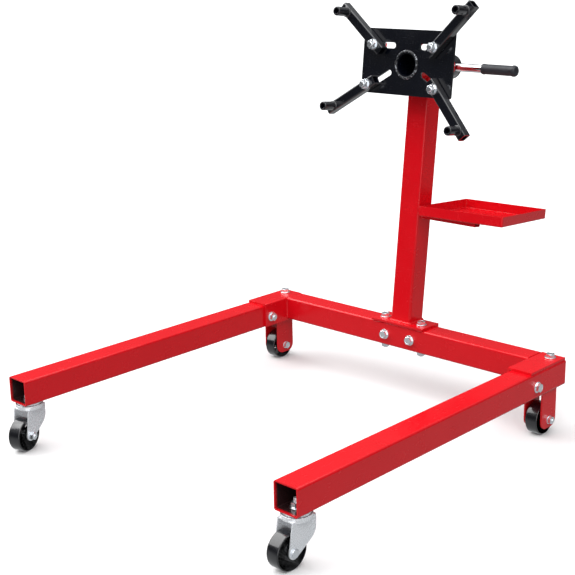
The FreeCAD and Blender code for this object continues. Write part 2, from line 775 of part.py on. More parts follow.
# ---- the whole stand
def make_nodes():
    nodes = {
        "cross_tube": make_cross_tube(),
        "leg_bolts": make_leg_bolts(),
        "corner_bolts": make_corner_bolts(),
        "post_foot": make_post_foot(),
        "post_bolts": make_post_bolts(),
        "post_cross_bolts": make_post_cross_bolts(),
        "post_tube": make_post(),
        "tray_bar": make_tray_bar(),
        "tray_pan": make_tray_pan(),
        "tray_bolt": make_tray_bolt(),
        "head_sleeve": make_sleeve(),
        "index_pin_boss": make_pin_boss(),
        "index_pin": make_index_pin(),
        "index_pin_knob": make_pin_knob(),
        "head_tube": make_head_tube(),
        "head_end_cap": make_end_cap(),
        "head_plate": make_head_plate(),
        "handle_rod": make_handle_rod(),
        "handle_grip": make_handle_grip(),
        "rear_axles": make_rear_axles(),
        "rear_bushes": make_rear_bushes(),
        "caster_stems": make_caster_stems(),
        "caster_stem_nuts": make_stem_nuts(),
        "swivel_balls": make_swivel_balls(),
    }
    for name in arm_settings:
        nodes["arm_" + name] = make_arm(name)
        nodes["standoff_" + name] = make_standoff(name)
        nodes["arm_bolt_" + name] = make_arm_bolt(name)
    fork_outer_half = caster_fork_gap / 2 + caster_fork_plate
    for side, word in side_names.items():
        nodes["leg_" + word] = make_leg(side)
        nodes["bracket_" + word] = make_bracket(side)
        nodes["rear_fork_" + word] = make_rear_fork(side)
        nodes["rear_wheel_" + word] = make_wheel(rear_axle_place(side), rear_wheel_turn[side])
        nodes["caster_fork_" + word] = make_caster_fork(side)
        nodes["caster_axle_" + word] = make_round_axle(front_axle_place(side), fork_outer_half, side)
        nodes["caster_bush_" + word] = make_bush(front_axle_place(side), caster_fork_gap)
        nodes["front_wheel_" + word] = make_wheel(front_axle_place(side), front_wheel_turn[side])
    return nodes


def middle_of_depth(nodes):
    """Middle of the whole stand along Y, from the exact extent of every piece."""
    boxes = [shape.optimalBoundingBox(False, False) for shape in nodes.values()]
    return (min(box.YMin for box in boxes) + max(box.YMax for box in boxes)) / 2


nodes = make_nodes()
shift_y = -middle_of_depth(nodes)
os.makedirs("parts", exist_ok=True)
for name, shape in nodes.items():
    shape.translated(Vector(0, shift_y, 0)).exportStep("parts/" + name + ".step")
print("nodes", len(nodes), "moved along Y by", round(shift_y, 3))
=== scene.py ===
import json
import math

import bmesh
import bpy
import numpy as np
from mathutils import Matrix, Vector


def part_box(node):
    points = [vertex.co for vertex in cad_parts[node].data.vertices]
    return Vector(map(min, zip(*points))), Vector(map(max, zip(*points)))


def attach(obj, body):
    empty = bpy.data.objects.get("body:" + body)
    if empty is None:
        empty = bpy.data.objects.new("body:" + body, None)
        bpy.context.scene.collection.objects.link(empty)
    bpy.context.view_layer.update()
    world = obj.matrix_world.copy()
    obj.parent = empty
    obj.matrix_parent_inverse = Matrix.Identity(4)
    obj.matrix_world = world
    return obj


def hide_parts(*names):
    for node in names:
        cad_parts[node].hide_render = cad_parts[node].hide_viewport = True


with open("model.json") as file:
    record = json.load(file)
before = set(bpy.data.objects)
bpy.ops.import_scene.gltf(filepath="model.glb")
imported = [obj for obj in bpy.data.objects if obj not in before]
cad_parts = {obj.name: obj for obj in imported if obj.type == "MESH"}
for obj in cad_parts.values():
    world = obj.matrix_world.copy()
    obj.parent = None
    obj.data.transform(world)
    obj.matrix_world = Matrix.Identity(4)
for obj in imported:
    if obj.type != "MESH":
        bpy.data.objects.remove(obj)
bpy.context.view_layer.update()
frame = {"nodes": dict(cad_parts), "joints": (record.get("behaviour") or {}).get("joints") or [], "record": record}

MM = 0.001
X = Vector((1, 0, 0))
Y = Vector((0, 1, 0))
Z = Vector((0, 0, 1))
BODY_OF = {node: body for body, nodes in frame["record"]["behaviour"]["bodies"].items() for node in nodes}
SLOT_OF = {row["node"]: row["material_slot"] for row in frame["record"]["subparts"]}
JOINT = {joint["name"]: joint for joint in frame["joints"]}
MOUNT = {mount["name"]: mount for mount in frame["record"]["mounts"]}
SIDES = ("left", "right")
ARMS = ("upper_left", "upper_right", "lower_left", "lower_right")


# ---- materials
class Nodes:
    """A small builder for a procedural material around one Principled shader."""

    def __init__(self, name):
        self.material = bpy.data.materials.new(name)
        self.material.use_nodes = True
        self.tree = self.material.node_tree
        self.shader = self.tree.nodes["Principled BSDF"]
        self.coordinates = self.tree.nodes.new("ShaderNodeTexCoord").outputs["Object"]
        self.bump_normal = None

    def set(self, **sockets):
        for name, value in sockets.items():
            self.shader.inputs[name.replace("_", " ")].default_value = value

    def link(self, output, socket):
        self.tree.links.new(output, self.shader.inputs[socket])

    def stretched(self, scale):
        mapping = self.tree.nodes.new("ShaderNodeMapping")
        mapping.inputs["Scale"].default_value = scale
        self.tree.links.new(self.coordinates, mapping.inputs["Vector"])
        return mapping.outputs["Vector"]

    def noise(self, scale, detail=3.0, roughness=0.5, vector=None):
        node = self.tree.nodes.new("ShaderNodeTexNoise")
        node.inputs["Scale"].default_value = scale
        node.inputs["Detail"].default_value = detail
        node.inputs["Roughness"].default_value = roughness
        self.tree.links.new(vector or self.coordinates, node.inputs["Vector"])
        return node.outputs["Fac"]

    def cells(self, scale, feature="F1"):
        node = self.tree.nodes.new("ShaderNodeTexVoronoi")
        node.feature = feature
        node.inputs["Scale"].default_value = scale
        self.tree.links.new(self.coordinates, node.inputs["Vector"])
        return node.outputs["Distance"]

    def spread(self, value, low, high, to_low=0.0, to_high=1.0):
        node = self.tree.nodes.new("ShaderNodeMapRange")
        limits = {"From Min": low, "From Max": high, "To Min": to_low, "To Max": to_high}
        for name, number in limits.items():
            node.inputs[name].default_value = number
        self.tree.links.new(value, node.inputs["Value"])
        return node.outputs["Result"]

    def mix(self, fac, first, second):
        node = self.tree.nodes.new("ShaderNodeMix")
        node.data_type = "RGBA"
        self.tree.links.new(fac, node.inputs["Factor"])
        for socket, value in ((node.inputs[6], first), (node.inputs[7], second)):
            if isinstance(value, tuple):
                socket.default_value = value
            else:
                self.tree.links.new(value, socket)
        return node.outputs[2]

    def sum(self, first, second, operation="ADD"):
        node = self.tree.nodes.new("ShaderNodeMath")
        node.operation = operation
        for socket, value in zip(node.inputs, (first, second)):
            if isinstance(value, float):
                socket.default_value = value
            else:
                self.tree.links.new(value, socket)
        return node.outputs[0]

    def inside_tube(self, low, high):
        """1 on the inner walls of a square tube along Y, fading out just before its front mouth."""
        split = self.tree.nodes.new("ShaderNodeSeparateXYZ")
        self.tree.links.new(self.coordinates, split.inputs["Vector"])
        fade_start = low.y + 1.0 * MM
        fade_end = low.y + 7.0 * MM
        skin = 1.2 * MM
        blur = 0.6 * MM
        half = (high.x - low.x) / 2 - skin
        mask = self.spread(split.outputs["Y"], fade_start, fade_end)
        for axis, centre in (("X", (low.x + high.x) / 2), ("Z", (low.z + high.z) / 2)):
            away = self.sum(self.sum(split.outputs[axis], -centre), 0.0, "ABSOLUTE")
            mask = self.sum(mask, self.spread(away, half, half - blur), "MULTIPLY")
        return mask

    def bump(self, height, distance, strength=1.0):
        node = self.tree.nodes.new("ShaderNodeBump")
        node.inputs["Strength"].default_value = strength
        node.inputs["Distance"].default_value = distance
        self.tree.links.new(height, node.inputs["Height"])
        if self.bump_normal is not None:
            self.tree.links.new(self.bump_normal, node.inputs["Normal"])
        self.bump_normal = node.outputs["Normal"]
        self.link(self.bump_normal, "Normal")


def rgb(red, green, blue):
    return (red, green, blue, 1.0)


def powder_coat(name, light, deep, dust, roughness, gloss, coat, haze=0.03, painted_shade_inside=None):
    """Sprayed gloss paint: orange peel, cloudy gloss, faint handling marks and a few fine scratches.

    The last argument is the (low, high) box of a tube along Y whose inner walls are made near-black red: painted
    shade for the dark inside of the tube."""
    m = Nodes(name)
    clouds = m.noise(9.0, 4.0, 0.55)
    grime = m.spread(m.noise(38.0, 6.0, 0.7), 0.58, 0.78)
    fine = m.spread(m.noise(900.0, 2.0, 0.5), 0.66, 0.8)
    colour = m.mix(m.spread(clouds, 0.3, 0.7), deep, light)
    colour = m.mix(m.sum(grime, haze * 3.0, "MULTIPLY"), colour, dust)
    colour = m.mix(m.sum(fine, haze, "MULTIPLY"), colour, dust)
    if painted_shade_inside is not None:
        # painted shade: the inner walls of the tube are darkened to near-black red
        colour = m.mix(m.inside_tube(*painted_shade_inside), colour, rgb(0.030, 0.012, 0.013))
    m.link(colour, "Base Color")
    scratch = m.spread(m.noise(60.0, 2.0, 0.4, m.stretched((0.6, 0.6, 26.0))), 0.7, 0.74)
    scratch_2 = m.spread(m.noise(60.0, 2.0, 0.4, m.stretched((20.0, 0.5, 1.0))), 0.71, 0.75)
    rough = m.spread(m.noise(24.0, 5.0, 0.6), 0.3, 0.75, roughness * 0.8, roughness * 1.3)
    rough = m.sum(rough, m.sum(m.sum(scratch, scratch_2), 0.12, "MULTIPLY"))
    m.link(rough, "Roughness")
    m.bump(m.noise(330.0, 3.0, 0.5), 0.00016, 0.32)
    m.bump(m.noise(14.0, 2.0, 0.5), 0.0006, 0.06)
    m.bump(m.sum(scratch, scratch_2), -0.00004, 0.5)
    m.set(Coat_Weight=coat, Coat_Roughness=0.08, Specular_IOR_Level=gloss)
    return m.material


def plated_steel(name, light, dark, roughness, metallic=1.0, grain=(1.0, 1.0, 1.0), grain_depth=0.00002):
    """Plated steel: patchy passivation, fine grain and small stains."""
    m = Nodes(name)
    patches = m.spread(m.noise(26.0, 3.0, 0.5), 0.3, 0.7)
    stains = m.spread(m.noise(240.0, 6.0, 0.7), 0.62, 0.82)
    colour = m.mix(patches, light, dark)
    colour = m.mix(m.sum(stains, 0.04, "MULTIPLY"), colour, rgb(0.24, 0.23, 0.21))
    m.link(colour, "Base Color")
    fine = m.noise(500.0, 4.0, 0.6, m.stretched(grain))
    rough = m.spread(m.noise(90.0, 4.0, 0.6), 0.3, 0.7, roughness * 0.85, roughness * 1.2)
    m.link(m.sum(rough, m.spread(fine, 0.4, 0.8, 0.0, 0.08)), "Roughness")
    m.bump(fine, grain_depth, 0.14)
    m.set(Metallic=metallic)
    return m.material


def painted_glint_bead(name):
    """Black paint over a weld bead with random bright steel-grey metallic patches: painted highlight standing in
    for the glints on the glossy bead.
    """
    m = Nodes(name)
    # painted highlight: bright metallic patches at random over the black bead
    painted_glint = m.spread(m.noise(120.0, 4.0, 0.65), 0.55, 0.66)
    m.link(m.mix(painted_glint, rgb(0.006, 0.007, 0.010), rgb(0.55, 0.57, 0.62)), "Base Color")
    m.link(m.sum(painted_glint, 0.8, "MULTIPLY"), "Metallic")
    m.link(m.spread(m.noise(200.0, 3.0, 0.5), 0.3, 0.7, 0.20, 0.40), "Roughness")
    m.bump(m.noise(600.0, 3.0, 0.6), 0.0001, 0.5)
    return m.material


def moulded(name, light, deep, dust, roughness, coat, grain_scale, grain_depth, worn=0.1):
    """Moulded plastic or rubber: fine grain, handling dust and a slightly uneven gloss."""
    m = Nodes(name)
    clouds = m.spread(m.noise(45.0, 4.0, 0.6), 0.3, 0.7)
    marks = m.spread(m.noise(210.0, 6.0, 0.75), 0.55, 0.8)
    colour = m.mix(clouds, deep, light)
    colour = m.mix(m.sum(marks, worn, "MULTIPLY"), colour, dust)
    m.link(colour, "Base Color")
    m.link(m.spread(m.noise(90.0, 5.0, 0.6), 0.3, 0.75, roughness * 0.75, roughness * 1.3), "Roughness")
    m.bump(m.cells(grain_scale), grain_depth, 0.5)
    m.bump(m.noise(120.0, 3.0, 0.5), grain_depth, 0.4)
    m.set(Coat_Weight=coat, Coat_Roughness=0.08)
    return m.material


RED_LOOK = {
    "light": rgb(0.70, 0.0030, 0.0095),
    "deep": rgb(0.66, 0.0022, 0.0075),
    "dust": rgb(0.68, 0.06, 0.06),
    "roughness": 0.24,
    "gloss": 0.36,
    "coat": 0.10,
}
BLACK_LOOK = {
    "light": rgb(0.0022, 0.0032, 0.0075),
    "deep": rgb(0.0014, 0.0020, 0.0050),
    "dust": rgb(0.04, 0.04, 0.06),
    "roughness": 0.20,
    "gloss": 0.6,
    "coat": 0.8,
}
ZINC_LOOK = {
    "light": rgb(0.93, 0.95, 0.98),
    "dark": rgb(0.86, 0.89, 0.93),
    "roughness": 0.24,
    "metallic": 0.4,
}
FASTENER_LOOK = {
    "light": rgb(0.93, 0.96, 0.99),
    "dark": rgb(0.86, 0.90, 0.95),
    "roughness": 0.16,
    "metallic": 0.9,
}
BUSH_LOOK = {
    "light": rgb(0.62, 0.62, 0.60),
    "dark": rgb(0.46, 0.46, 0.45),
    "roughness": 0.34,
}
CHROME_LOOK = {
    "light": rgb(0.80, 0.80, 0.82),
    "dark": rgb(0.74, 0.74, 0.76),
    "roughness": 0.10,
    "grain": (1.0, 14.0, 14.0),
}
NYLON_LOOK = {
    "light": rgb(0.009, 0.010, 0.013),
    "deep": rgb(0.005, 0.005, 0.007),
    "dust": rgb(0.08, 0.08, 0.09),
    "roughness": 0.22,
    "coat": 1.0,
    "grain_scale": 1500.0,
    "grain_depth": 0.00002,
    "worn": 0.08,
}
GRIP_LOOK = {
    "light": rgb(0.026, 0.028, 0.036),
    "deep": rgb(0.016, 0.017, 0.022),
    "dust": rgb(0.11, 0.11, 0.12),
    "roughness": 0.46,
    "coat": 0.0,
    "grain_scale": 1200.0,
    "grain_depth": 0.00010,
    "worn": 0.14,
}
RED = powder_coat("red_powder_coat", **RED_LOOK)
BLACK = powder_coat("black_powder_coat", **BLACK_LOOK)
# weld bead finish with painted highlight patches
GLINT_BEAD = painted_glint_bead("weld_bead_painted_glints")
ZINC = plated_steel("bright_zinc", **ZINC_LOOK)
BRIGHT = plated_steel("bright_fasteners", **FASTENER_LOOK)
BUSH = plated_steel("turned_steel", **BUSH_LOOK)
CHROME = plated_steel("polished_chrome", **CHROME_LOOK)
NYLON = moulded("glossy_black_nylon", **NYLON_LOOK)
GRIP = moulded("grey_black_rubber", **GRIP_LOOK)
FINISH = {"red_frame": RED, "black_paint": BLACK, "zinc_steel": ZINC, "steel_bush": BUSH,
          "chrome_rod": CHROME, "grip_rubber": GRIP, "black_plastic": NYLON}
# each leg gets its own red, with painted shade on the inner walls of its tube
LEG_FINISH = {"leg_" + side: powder_coat("red_leg_" + side, painted_shade_inside=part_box("leg_" + side), **RED_LOOK)
              for side in SIDES}


# ---- pieces
def make_piece(name, mesh, body, slot, smooth=35.0, finish=None):
    """A new piece with its finish, riding on a CAD body."""
    piece = bpy.data.objects.new(name, mesh)
    bpy.context.scene.collection.objects.link(piece)
    mesh.materials.clear()
    mesh.materials.append(finish or FINISH[slot])
    mesh.shade_smooth()
    mesh.set_sharp_from_angle(angle=math.radians(smooth))
    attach(piece, body)
    return piece


def mesh_from(name, vertices, faces):
    mesh = bpy.data.meshes.new(name)
    mesh.from_pydata([tuple(v) for v in vertices], [], faces)
    mesh.validate()
    return mesh


class Shape:
    """Vertices and faces that add up to one mesh."""

    def __init__(self):
        self.vertices = []
        self.faces = []

    def add_rings(self, rings, close_around=True, loop=False):
        """Quads between rings of points of the same length; loop joins the last ring to the first."""
        start = len(self.vertices)
        count = len(rings[0])
        for ring in rings:
            self.vertices.extend(ring)
        rows = len(rings) if loop else len(rings) - 1
        columns = count if close_around else count - 1
        for r in range(rows):
            low = start + r * count
            high = start + ((r + 1) % len(rings)) * count
            for c in range(columns):
                d = (c + 1) % count
                self.faces.append((low + c, low + d, high + d, high + c))
        return start

    def add_cap(self, ring, flip=False):
        start = len(self.vertices)
        self.vertices.extend(ring)
        order = range(len(ring) - 1, -1, -1) if flip else range(len(ring))
        self.faces.append(tuple(start + k for k in order))

    def mesh(self, name):
        mesh = mesh_from(name, self.vertices, self.faces)
        work = bmesh.new()
        work.from_mesh(mesh)
        bmesh.ops.remove_doubles(work, verts=work.verts, dist=1e-6)
        bmesh.ops.recalc_face_normals(work, faces=work.faces)
        work.to_mesh(mesh)
        work.free()
        return mesh


def axes_for(axis, toward=None):
    """Three unit axes: two across and one along the given direction."""
    along = Vector(axis).normalized()
    guess = Vector(toward) if toward is not None else (X if abs(along.x) < 0.9 else Y)
    across = (guess - along * guess.dot(along)).normalized()
    return across, along.cross(across), along


def ring_at(centre, axes, radius_at, height, count=72):
    points = []
    for k in range(count):
        angle = 2 * math.pi * k / count
        radius = radius_at(angle) if callable(radius_at) else radius_at
        points.append(centre + axes[0] * (radius * math.cos(angle)) + axes[1] * (radius * math.sin(angle))
                      + axes[2] * (height(angle) if callable(height) else height))
    return points


def add_revolved(shape, centre, axes, outline, count=64, closed=True):
    """Turns an outline of (radius, height) points about the axis."""
    rings = [ring_at(centre, axes, max(radius, 1e-5), height, count) for radius, height in outline]
    shape.add_rings(rings, loop=closed)


def rounded_outline(points, radius, steps=4, closed=True):
    """The outline with each corner replaced by a short arc of the given radius."""
    made = []
    total = len(points)
    for k, (a, b) in enumerate(points):
        if not closed and k in (0, total - 1):
            made.append((a, b))
            continue
        here = Vector((a, b))
        before = Vector(points[k - 1]) - here
        after = Vector(points[(k + 1) % total]) - here
        reach = min(radius, before.length * 0.45, after.length * 0.45)
        start = here + before.normalized() * reach
        end = here + after.normalized() * reach
        for s in range(steps + 1):
            t = s / steps
            point = start * (1 - t) ** 2 + here * (2 * t * (1 - t)) + end * t ** 2
            made.append((point.x, point.y))
    return made


def add_washer(shape, centre, axes, outer, inner, thickness):
    outline = [(inner, 0), (outer, 0), (outer, thickness), (inner, thickness)]
    add_revolved(shape, centre, axes, rounded_outline(outline, 0.45 * MM, 3), 56)


HEX_ROOM = 0.995               # keeps a hexagon just inside its CAD solid
CHAMFER_START = 0.955          # of half the width across flats
CHAMFER_SLOPE = math.tan(math.radians(28))
DISH_RADIUS = 0.80             # shallow dish in the middle of a bolt head
DISH_DEPTH = 0.35 * MM
BORE_MOUTH = 1.12              # of a nut's bore, at its countersunk mouth
BORE_THREAD = 0.97


def hex_radius(flats, angle):
    sector = (angle % (math.pi / 3)) - math.pi / 6
    return flats / 2 / math.cos(sector)


def add_hexagon(shape, centre, axes, flats, height, bore=0.0, chamfer_low=False):
    """Hexagon about the axis with turned chamfers, and a bore for a nut or a closed face for a head."""
    inset = flats / 2 * CHAMFER_START

    def side(angle):
        return hex_radius(flats, angle) * HEX_ROOM

    def top(angle):
        return height - (side(angle) - inset) * CHAMFER_SLOPE

    def low(angle):
        return (side(angle) - inset) * CHAMFER_SLOPE if chamfer_low else 0.0

    rings = []
    if chamfer_low:
        rings.append(ring_at(centre, axes, inset, 0.0))
    rings += [ring_at(centre, axes, side, low), ring_at(centre, axes, side, top)]
    rings.append(ring_at(centre, axes, inset, height))
    if bore:
        sink = bore * 0.18
        rings.append(ring_at(centre, axes, bore * BORE_MOUTH, height))
        rings.append(ring_at(centre, axes, bore * BORE_THREAD, height - sink))
        rings.append(ring_at(centre, axes, bore * BORE_THREAD, sink))
        rings.append(ring_at(centre, axes, bore * BORE_MOUTH, 0.0))
        shape.add_rings(rings, loop=True)
        return
    rings.append(ring_at(centre, axes, inset * DISH_RADIUS, height))
    rings.append(ring_at(centre, axes, inset * 0.76, height - DISH_DEPTH))
    shape.add_rings(rings)
    shape.add_cap(rings[-1])
    shape.add_cap(rings[0], flip=True)


def add_thread(shape, centre, axes, radius, start, end, pitch, count=32):
    """A real helical thread with a chamfered tip."""
    depth = 0.55 * pitch
    rows = max(4, int(math.ceil((end - start) / pitch * 8)))
    rings = []
    for row in range(rows + 1):
        height = start + (end - start) * row / rows
        ring = []
        for k in range(count):
            angle = 2 * math.pi * k / count
            phase = (height / pitch - k / count) % 1.0
            groove = depth * max(0.0, 1.0 - abs(phase - 0.5) * 2.6)
            tip = max(0.0, 1.0 - (end - height) / (0.9 * pitch)) * depth
            r = radius - max(groove, tip)
            out = axes[0] * (r * math.cos(angle)) + axes[1] * (r * math.sin(angle))
            ring.append(centre + out + axes[2] * height)
        rings.append(ring)
    shape.add_rings(rings)
    shape.add_cap(rings[-1])
    shape.add_cap(rings[0], flip=True)


def add_shank(shape, centre, axes, radius, start, end):
    outline = [(1e-5, start), (radius, start), (radius, end), (1e-5, end)]
    add_revolved(shape, centre, axes, outline, 32, closed=False)


def islands(node):
    """The vertices of each separate solid of a CAD node."""
    work = bmesh.new()
    work.from_mesh(frame["nodes"][node].data)
    bmesh.ops.remove_doubles(work, verts=work.verts, dist=1e-6)
    found = []
    seen = set()
    for vertex in work.verts:
        if vertex in seen:
            continue
        stack = [vertex]
        seen.add(vertex)
        members = []
        while stack:
            here = stack.pop()
            members.append(here.co.copy())
            for edge in here.link_edges:
                other = edge.other_vert(here)
                if other not in seen:
                    seen.add(other)
                    stack.append(other)
        found.append(members)
    work.free()
    return found


def measure(points, axis):
    """Where a turned solid lies: its centre line, its extent along it and the radius at both ends."""
    axes = axes_for(axis)
    flat = [[p.dot(a) for a in axes] for p in points]
    middle = [(min(row[k] for row in flat) + max(row[k] for row in flat)) / 2 for k in range(2)]
    low = min(row[2] for row in flat)
    high = max(row[2] for row in flat)
    centre = axes[0] * middle[0] + axes[1] * middle[1]
    radii = [math.hypot(row[0] - middle[0], row[1] - middle[1]) for row in flat]
    near = 0.3 * MM
    low_radius = max(r for r, row in zip(radii, flat) if row[2] < low + near)
    high_radius = max(r for r, row in zip(radii, flat) if row[2] > high - near)
    far = max(range(len(flat)), key=lambda k: radii[k])
    corner = (points[far] - centre) - axes[2] * flat[far][2]
    return {"centre": centre, "axis": axes[2], "low": low, "high": high, "corner": corner,
            "low_radius": low_radius, "high_radius": high_radius, "inner": min(radii),
            "radii": radii, "flat": flat}


HEAD_STEP = 1.5 * MM           # a bolt's head is at least this much wider than its shank
THICKEST_WASHER = 3.2 * MM
LONGEST_THREAD = 30 * MM


def add_fastener(shape, points, axis, pitch):
    """Rebuilds one bolt, nut or washer of the frame with chamfers, rounded rims and a thread."""
    m = measure(points, axis)
    length = m["high"] - m["low"]
    outer = max(m["low_radius"], m["high_radius"])
    is_bolt = abs(m["low_radius"] - m["high_radius"]) > HEAD_STEP
    if is_bolt:
        head_low = m["low_radius"] > m["high_radius"]
        along = m["axis"] if head_low else -m["axis"]
        base = m["centre"] + m["axis"] * (m["low"] if head_low else m["high"])
        shank = min(m["low_radius"], m["high_radius"])
        depths = [(row[2] - m["low"]) if head_low else (m["high"] - row[2]) for row in m["flat"]]
        head = max(d for d, r in zip(depths, m["radii"]) if r > shank + 0.8 * MM)
        seat = base + along * head
        axes = axes_for(along, m["corner"])
        add_head(shape, seat, axes, outer, head, is_round(m["radii"], outer))
        add_threaded_shank(shape, seat, axes, shank, length - head, pitch)
        return
    base = m["centre"] + m["axis"] * m["low"]
    if length < THICKEST_WASHER:
        add_washer(shape, base, axes_for(m["axis"]), outer, m["inner"], length)
    else:
        axes = axes_for(m["axis"], m["corner"])
        add_hexagon(shape, base, axes, outer * math.sqrt(3), length, m["inner"], chamfer_low=True)


def is_round(radii, outer):
    """A turned head has most of its rim at one radius; a hexagon has only its corners there."""
    rim = [r for r in radii if r > outer * 0.9]
    return len(rim) > 20


def add_head(shape, seat, axes, outer, height, round_head):
    flipped = (axes[0], -axes[1], -axes[2])
    if round_head:
        outline = [(1e-5, height), (outer, height), (outer, 0), (1e-5, 0)]
        add_revolved(shape, seat, flipped, rounded_outline(outline, 1.6 * MM, 5, False), 56, closed=False)
        return
    add_hexagon(shape, seat, flipped, outer * math.sqrt(3), height)


def add_threaded_shank(shape, seat, axes, radius, length, pitch):
    thread = min(length, LONGEST_THREAD)
    if length > thread:
        add_shank(shape, seat, axes, radius * 0.985, 0.0, length - thread)
    add_thread(shape, seat, axes, radius, length - thread, length, pitch)


def rebuild_fasteners(node, axis_of, pitch=1.75 * MM):
    """One detailed piece in place of a node of bolts, nuts and washers."""
    shape = Shape()
    for points in islands(node):
        add_fastener(shape, points, axis_of(points), pitch)
    name = node + "_detail"
    piece = make_piece(name, shape.mesh(name), BODY_OF[node], SLOT_OF[node], 24.0, BRIGHT)
    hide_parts(node)
    return piece


# ---- weld beads and other trim
RANDOM = np.random.default_rng(7)


def bead_rings(points, radius, closed, pitch, flatten):
    """Rings along a path that swell and shrink like the ripples of a weld."""
    total = len(points)
    travelled = 0.0
    rings = []
    wander = RANDOM.normal(0.0, 0.05, total)
    wander = np.convolve(np.concatenate((wander[-4:], wander, wander[:4])), np.ones(9) / 9, "valid")
    for k, (point, out) in enumerate(points):
        before = points[k - 1][0] if k or closed else point
        after = points[(k + 1) % total][0] if k + 1 < total or closed else point
        tangent = (after - before).normalized()
        travelled += (point - before).length if k else 0.0
        ripple = abs(math.sin(math.pi * travelled / pitch)) ** 0.6
        swell = radius * (0.86 + 0.16 * ripple + 2.2 * float(wander[k]))
        up = out.normalized()
        side = tangent.cross(up).normalized()
        ring = []
        for q in range(12):
            angle = 2 * math.pi * q / 12
            lag = tangent * (0.25 * pitch * math.cos(angle) ** 2)
            out_of_seam = up * (swell * flatten * math.sin(angle))
            across_seam = side * (swell * math.cos(angle))
            ring.append(point + out_of_seam + across_seam - lag)
        rings.append(ring)
    return rings


def add_bead(shape, points, radius, closed=True, pitch=2.4 * MM, flatten=0.72):
    rings = bead_rings(points, radius, closed, pitch, flatten)
    shape.add_rings(rings, loop=closed)
    if not closed:
        shape.add_cap(rings[-1])
        shape.add_cap(rings[0], flip=True)


def along_line(start, end, out, step=0.6 * MM):
    count = max(2, int((end - start).length / step))
    return [(start.lerp(end, k / count), Vector(out)) for k in range(count + 1)]


def along_rectangle(centre, across, up, half_across, half_up, corner, out_tilt, step=0.7 * MM):
    """Points round a rounded rectangle, each with the direction that the bead faces."""
    points = []
    corners = ((1, 1, 0), (-1, 1, 90), (-1, -1, 180), (1, -1, 270))
    outline = []
    for sign_a, sign_b, turn in corners:
        for k in range(7):
            angle = math.radians(turn + 15 * k)
            a = sign_a * (half_across - corner) + corner * math.cos(angle)
            b = sign_b * (half_up - corner) + corner * math.sin(angle)
            outline.append((a, b, math.cos(angle), math.sin(angle)))
    normal = across.cross(up)
    for (a0, b0, c0, d0), (a1, b1, c1, d1) in zip(outline, outline[1:] + outline[:1]):
        length = math.hypot(a1 - a0, b1 - b0)
        count = max(1, int(length / step))
        for k in range(count):
            t = k / count
            out = across * (c0 + (c1 - c0) * t) + up * (d0 + (d1 - d0) * t)
            point = centre + across * (a0 + (a1 - a0) * t) + up * (b0 + (b1 - b0) * t)
            points.append((point, out + normal * out_tilt))
    return points


def along_circle(centre, axes, radius, out_tilt, start=0.0, end=360.0, step=0.6 * MM):
    span = math.radians(end - start)
    count = max(8, int(radius * abs(span) / step))
    whole = abs(end - start) > 359.9
    points = []
    for k in range(count if whole else count + 1):
        angle = math.radians(start) + span * k / count
        out = axes[0] * math.cos(angle) + axes[1] * math.sin(angle)
        points.append((centre + out * radius, out + axes[2] * out_tilt))
    return points


def finish_bead(shape, name, body, slot, finish=None):
    return make_piece(name, shape.mesh(name), body, slot, 60.0, finish)


HEAD = Vector(JOINT["head_spin"]["pos_m"])
HEAD_BACK = Vector(JOINT["head_spin"]["axis"]).normalized()
HEAD_UP = X.cross(HEAD_BACK)
POST_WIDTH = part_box("post_tube")[1].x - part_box("post_tube")[0].x
POST_DEPTH = 55 * MM
POST_AHEAD = 81.2 * MM         # behind the plate, to the middle of the post
SLEEVE_SEAT = -18.4 * MM       # where the post's sides meet the round sleeve
STANDOFF_LENGTH = 39 * MM
SLEEVE_RADIUS = (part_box("head_sleeve")[1].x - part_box("head_sleeve")[0].x) / 2
TUBE_RADIUS = (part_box("head_tube")[1].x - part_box("head_tube")[0].x) / 2
LEAN = math.asin(-HEAD_BACK.z)


def head_point(x, back, up):
    return HEAD + X * x + HEAD_BACK * back + HEAD_UP * up


